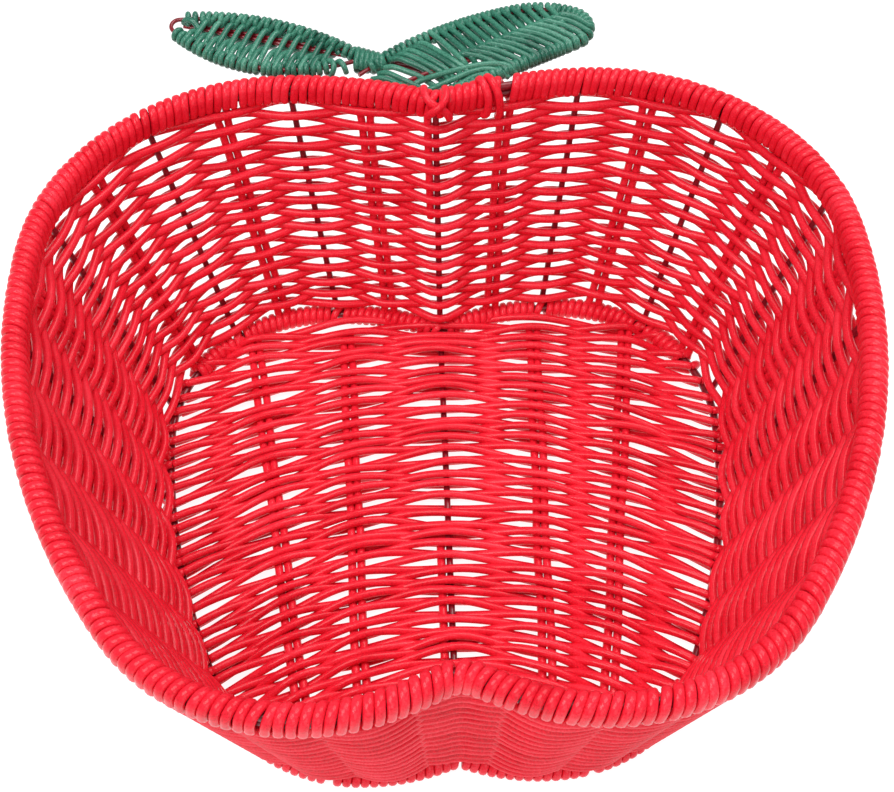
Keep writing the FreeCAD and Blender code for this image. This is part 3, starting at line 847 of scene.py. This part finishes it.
# Right leaf: cords from both edges cross over the midrib in turn, which makes its chevrons.
CHEVRONS = 13
CHEVRON_STEP = 3.27
FIRST_CHEVRON = 15.0
LEAN = 3.2              # how far back along the leaf a cord starts at the far edge
HALF_WRAP = 1.06        # half the width that a cord takes on the near edge


def chevron_down(leaf, place, late):
    """From the far edge over the midrib and down beside it, to the near edge."""
    far = leaf.edge_run(True, place - LEAN * (1 - late))
    start = leaf.local_at(far)
    goal = np.array([place, leaf.middle])
    way = []
    for t, height in ((0.25, 2.3), (0.6, 2.9), (0.9, 3.2)):
        way.append(leaf.inner(*(start + (goal - start) * t), height))
    way += [leaf.inner(place + 0.4, leaf.middle - 1.2, 3.0),
            leaf.inner(place + 1.1, leaf.middle - 3.0, 1.2),
            leaf.inner(place + 2.2, leaf.middle - 5.2, -1.0)]
    return leaf.turn(far, 100, 360, 0.5) + way + leaf.turn(place + 3.8 - HALF_WRAP, 180, 440, 0.5)


def chevron_up(leaf, place, late):
    """From the near edge, bowed, over the midrib and down beyond it, to the far edge."""
    near = place + 10.4 - HALF_WRAP - 2.5 * late
    start = leaf.edge(near)[0] @ leaf.axes.T
    goal = np.array([place, leaf.middle + 0.6])
    way = []
    for t, height, bow in ((0.24, 2.4, 0.9), (0.55, 3.0, 1.3), (0.85, 3.6, 0.7)):
        way.append(leaf.inner(*(start + (goal - start) * t + np.array([0.45, 0.9]) * bow), height))
    way += [leaf.inner(place - 0.5, leaf.middle + 1.4, 3.7),
            leaf.inner(place - 1.8, leaf.middle + 3.2, 1.2),
            leaf.inner(place - 3.0, leaf.middle + 5.0, -0.8)]
    far = leaf.edge_run(True, place - LEAN * (1 - late))
    return leaf.turn(near, 100, 360, 0.5) + way + leaf.turn(far, 180, 440, 0.5)


cords = Cords(63)
for n in range(CHEVRONS):
    place = FIRST_CHEVRON + CHEVRON_STEP * n + cords.rng.uniform(-0.2, 0.2)
    late = (n / (CHEVRONS - 1)) ** 3
    leaf_cord(cords, chevron_down(right, place, late))
    leaf_cord(cords, chevron_up(right, place + CHEVRON_STEP / 2, late))
far_wraps = np.arange(-13.2, FIRST_CHEVRON - 4.0, 2.25)
short_wraps(cords, right, [right.edge_run(True, along) for along in far_wraps])
last_chevron = FIRST_CHEVRON + CHEVRON_STEP * (CHEVRONS - 1)
short_wraps(cords, right, np.arange(right.edge_run(True, last_chevron) - 2.0, 63.5, -1.85))
short_wraps(cords, right, np.arange(4.0, 24.5, 1.9))

# Cords of its root, from edge to edge across the stem: points (x, w, height) of the plane.
ROOT = [
    [(-12.6, 19.6, 0.8), (-10.2, 19.0, 2.0), (-6.2, 16.6, 2.4), (-1.2, 13.0, 2.7), (3.0, 9.8, 2.3),
     (5.0, 8.0, 0.8)],
    [(21.0, 8.2, -0.4), (16.5, 7.6, 1.4), (10.5, 4.8, 1.9), (4.5, 1.8, 1.7), (-0.5, 0.2, 1.0),
     (-2.5, -0.6, 0.0)],
    [(-10.5, 21.0, 0.8), (-8.0, 20.6, 2.0), (-4.5, 18.4, 2.5), (0.5, 14.4, 2.8), (4.6, 10.9, 2.6),
     (6.6, 8.6, 1.0)],
    [(-8.6, 22.4, 0.8), (-5.6, 21.9, 2.1), (-1.5, 19.2, 2.6), (3.5, 15.0, 2.9), (7.8, 11.0, 2.8),
     (9.8, 8.6, 1.0)],
    [(-6.0, 24.4, 0.8), (-3.0, 23.4, 2.1), (1.5, 19.6, 2.6), (6.5, 15.2, 2.9), (10.6, 11.4, 2.6),
     (12.6, 9.0, 1.0)],
    [(28.4, 11.2, 0.0), (25.6, 12.6, 2.0), (21.0, 13.2, 2.7), (14.5, 12.4, 2.9), (8.0, 10.8, 2.9),
     (1.5, 9.0, 2.6), (-3.5, 7.4, 2.3), (-7.6, 6.0, 1.2)],
    [(25.8, 9.6, -0.4), (23.0, 10.8, 1.3), (18.0, 11.4, 2.2), (12.0, 9.8, 2.4), (6.5, 7.2, 2.2),
     (1.0, 4.6, 2.0), (-3.0, 3.2, 1.2)],
    [(23.0, 8.8, -0.6), (19.5, 10.0, 1.0), (14.5, 9.0, 1.6), (9.5, 6.0, 1.6), (5.0, 3.0, 1.2)],
    [(-15.2, 17.6, 0.8), (-12.2, 17.2, 2.0), (-8.0, 14.8, 2.3), (-3.5, 12.2, 2.0), (1.6, 9.0, 0.6),
     (4.0, 7.6, -0.6)],
    [(-17.2, 14.2, 0.8), (-14.0, 13.4, 2.0), (-9.5, 11.2, 2.2), (-5.0, 9.0, 1.8), (-1.0, 6.8, 0.4),
     (1.6, 5.4, -0.8)],
    [(-19.2, 11.6, 0.8), (-16.0, 10.8, 2.0), (-11.5, 8.0, 2.2), (-7.0, 5.6, 1.7), (-3.0, 3.6, 0.4),
     (-1.0, 2.6, -0.8)],
    [(-21.6, 9.4, 0.6), (-17.5, 8.6, 1.9), (-12.5, 6.0, 2.1), (-7.5, 3.4, 1.8), (-4.0, 1.8, 0.8)],
    [(-22.0, 8.4, -0.6), (-15.0, 6.2, 0.6), (-9.0, 3.4, 0.6), (-4.5, 1.4, 0.2)],
]
for points in ROOT:
    leaf_cord(cords, points)
cords.make("right_leaf_cords", GREEN_CORD, ["right_leaf_weave"])


# --- floor, light and camera ---------------------------------------------------------------------

FLOOR_HALF = 20.0       # metres
FLOOR_Z = -0.0003


def add_floor():
    mesh = bpy.data.meshes.new("floor")
    corners = [(x * FLOOR_HALF, y * FLOOR_HALF, 0) for x, y in ((-1, -1), (1, -1), (1, 1), (-1, 1))]
    mesh.from_pydata(corners, [], [(0, 1, 2, 3)])
    material, tree, shader = new_material("pale_floor")
    shader.inputs["Base Color"].default_value = (0.3, 0.3, 0.3, 1)
    shader.inputs["Roughness"].default_value = 0.9
    shader.inputs["Specular IOR Level"].default_value = 0.0
    shader.inputs["Emission Color"].default_value = (1, 1, 1, 1)
    shader.inputs["Emission Strength"].default_value = 0.9
    mesh.materials.append(material)
    floor = bpy.data.objects.new("floor", mesh)
    bpy.context.collection.objects.link(floor)
    floor.location.z = FLOOR_Z


AIM = (0, 0, 0.04)      # the middle of the basket, in metres


def add_area(name, place, size, power):
    """A square lamp aimed at the basket."""
    light = bpy.data.lights.new(name, "AREA")
    light.shape = "SQUARE"
    light.size = size
    light.energy = power
    lamp = bpy.data.objects.new(name, light)
    lamp.location = place
    lamp.rotation_euler = (Vector(AIM) - Vector(place)).to_track_quat("-Z", "Y").to_euler()
    bpy.context.collection.objects.link(lamp)


add_floor()
add_area("key", (-0.45, -0.30, 1.2), size=0.8, power=9.4)
add_area("top", (0.40, 0.45, 1.2), size=0.9, power=8.8)
add_area("fill", (0.1, -1.1, 0.7), size=0.8, power=2.8)

world = bpy.data.worlds.new("studio")
world.use_nodes = True
background = world.node_tree.nodes["Background"]
background.inputs["Color"].default_value = (1, 1, 1, 1)
background.inputs["Strength"].default_value = 0.42
scene = bpy.context.scene
scene.world = world
scene.view_settings.view_transform = "Standard"

CAMERA_PLACE = (-0.00708, -0.27009, 0.40111)
CAMERA_TURN, CAMERA_LIFT, CAMERA_ROLL = -1.64, 36.95, -0.44     # degrees
camera_data = bpy.data.cameras.new("camera")
camera_data.lens = 55.13
camera_data.sensor_width = 36.0
camera_data.clip_start = 0.01
camera = bpy.data.objects.new("camera", camera_data)
bpy.context.collection.objects.link(camera)
camera.matrix_world = (Matrix.Translation(CAMERA_PLACE)
                       @ Matrix.Rotation(math.radians(CAMERA_TURN), 4, "Z")
                       @ Matrix.Rotation(math.radians(CAMERA_LIFT), 4, "X")
                       @ Matrix.Rotation(math.radians(CAMERA_ROLL), 4, "Z"))
scene.camera = camera
